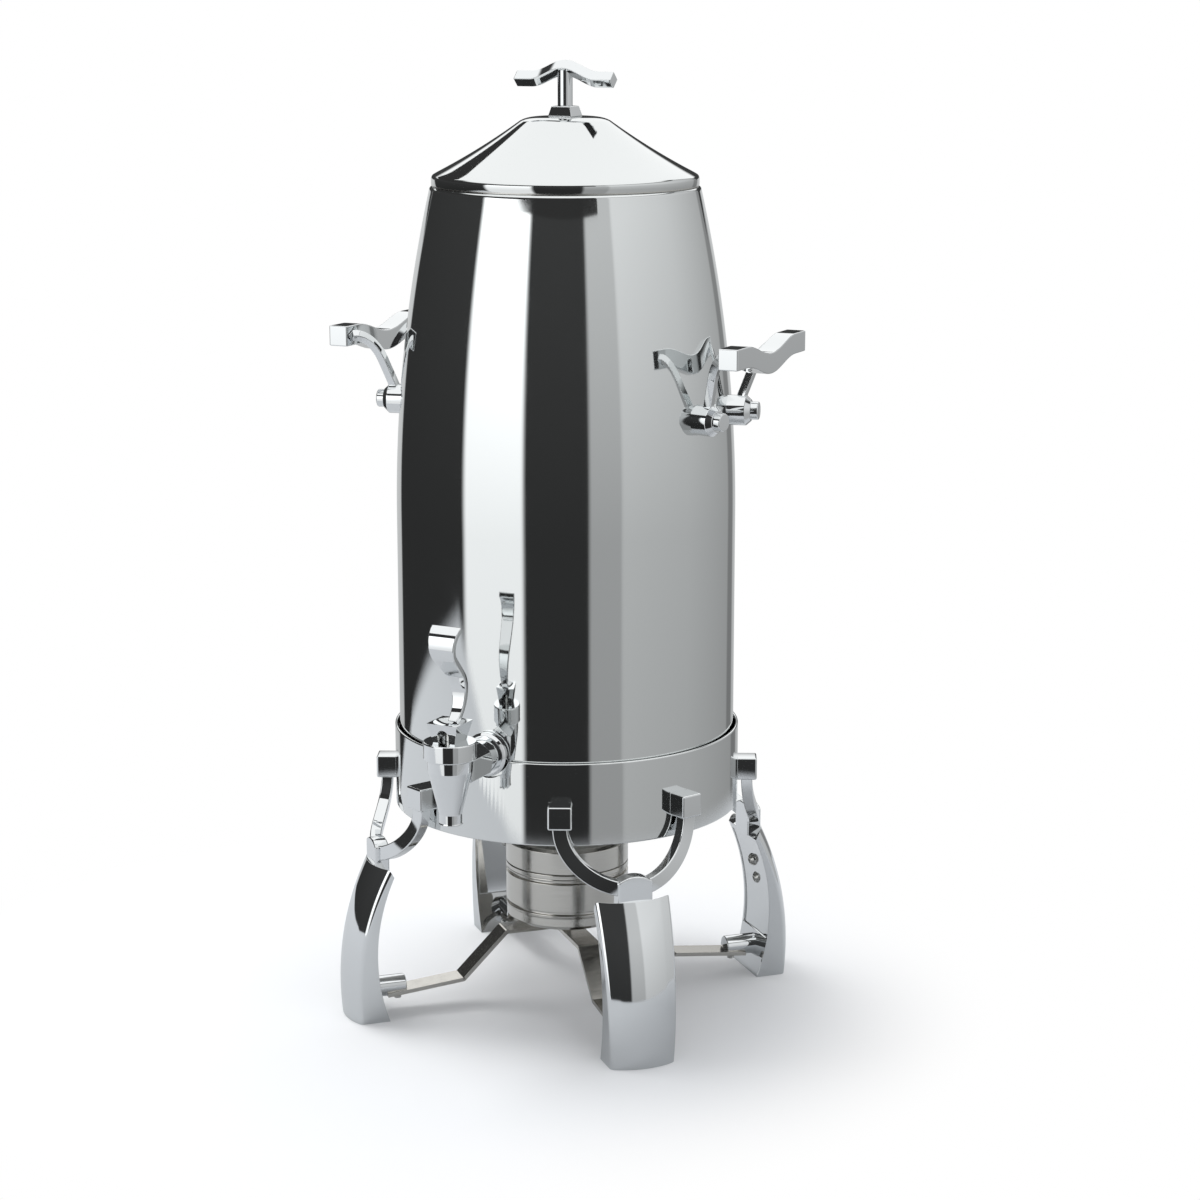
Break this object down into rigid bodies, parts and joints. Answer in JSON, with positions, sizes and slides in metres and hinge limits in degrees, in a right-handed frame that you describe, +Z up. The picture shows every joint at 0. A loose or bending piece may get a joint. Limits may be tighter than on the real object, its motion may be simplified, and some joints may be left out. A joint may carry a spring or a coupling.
{
  "type": "coffee urn",
  "caption": "Tall polished urn with a lever tap and wavy handles, standing in a ring on curved legs over a fuel burner; the lid, urn and burner lift off.",
  "frame": {"origin": "on the urn's axis, at the floor under the four feet", "axes": "+Z up; the tap points to -Y; the two side handles point to +X and -X; the legs stand on the diagonals"},
  "size_m": [0.3286, 0.3405, 0.706],
  "materials": {
    "mirror_steel": "mirror polish",
    "brushed_steel": "satin",
    "silicone": "matte",
    "can_metal": "satin"
  },
  "bodies": {
    "stand": {"stand_band": "mirror_steel", "support_ledge": "brushed_steel", "band_blocks": "mirror_steel", "block_screws": "brushed_steel", "yoke_front_right": "mirror_steel", "yoke_front_left": "mirror_steel", "yoke_rear_right": "mirror_steel", "yoke_rear_left": "mirror_steel", "leg_front_right": "mirror_steel", "leg_front_left": "mirror_steel", "leg_rear_right": "mirror_steel", "leg_rear_left": "mirror_steel", "leg_screws": "brushed_steel", "strap_bosses": "mirror_steel", "strap_screws": "brushed_steel", "lower_strap": "brushed_steel", "upper_strap": "brushed_steel", "strap_rivet": "brushed_steel", "fuel_dish": "brushed_steel"},
    "fuel_holder": {"fuel_cup": "brushed_steel", "fuel_can": "can_metal"},
    "cover": {"fuel_cover": "brushed_steel"},
    "urn": {"outer_shell": "mirror_steel", "inner_vessel": "brushed_steel", "vessel_floor": "brushed_steel", "base_ring": "brushed_steel", "mouth_ring": "mirror_steel", "handle_grip_right": "mirror_steel", "handle_grip_left": "mirror_steel", "handle_arms_right": "mirror_steel", "handle_arms_left": "mirror_steel", "handle_hubs_right": "mirror_steel", "handle_hubs_left": "mirror_steel", "handle_cap_screws": "mirror_steel", "handle_washers": "brushed_steel", "handle_nuts": "brushed_steel", "tap_valve_body": "mirror_steel", "tap_bonnet": "mirror_steel", "tap_shank": "brushed_steel", "tap_spacer": "mirror_steel", "tap_flange": "mirror_steel", "tap_outer_gasket": "silicone", "tap_wall_sleeve": "brushed_steel", "tap_inner_gasket": "silicone", "tap_lock_nut": "brushed_steel", "tap_stem_washer": "brushed_steel"},
    "valve_stem": {"tap_spring": "brushed_steel", "tap_stem": "brushed_steel", "tap_seat_cup": "silicone", "tap_lift_pin": "brushed_steel"},
    "lever": {"tap_lever": "mirror_steel"},
    "lid": {"lid_shell": "mirror_steel", "lid_collar": "brushed_steel", "knob_base": "mirror_steel", "knob_stem": "mirror_steel", "knob_bar": "mirror_steel", "knob_screw": "brushed_steel"}
  },
  "joints": [
    {"name": "urn_lift", "type": "slide", "parent": "stand", "child": "urn", "axis": [0, 0, 1], "range_m": [0, 0.1]},
    {"name": "lid_lift", "type": "slide", "parent": "urn", "child": "lid", "axis": [0, 0, 1], "range_m": [0, 0.06]},
    {"name": "lever_pull", "type": "hinge", "parent": "urn", "child": "lever", "pos_m": [0, -0.1915, 0.2426], "axis": [1, 0, 0], "range_deg": [0, 25], "stiffness_Nm_per_rad": 0.4, "springref_deg": -17.19},
    {"name": "stem_rise", "type": "slide", "parent": "urn", "child": "valve_stem", "axis": [0, 0, 1], "range_m": [0, 0.0043], "deforming": ["tap_spring"]},
    {"name": "fuel_lift", "type": "slide", "parent": "stand", "child": "fuel_holder", "axis": [0, 0, 1], "range_m": [0, 0.03]},
    {"name": "cover_lift", "type": "slide", "parent": "fuel_holder", "child": "cover", "axis": [0, 0, 1], "range_m": [0, 0.04]}
  ],
  "couplings": [
    {"joint": "stem_rise", "follows": "lever_pull", "m_per_rad": 0.00985}
  ]
}
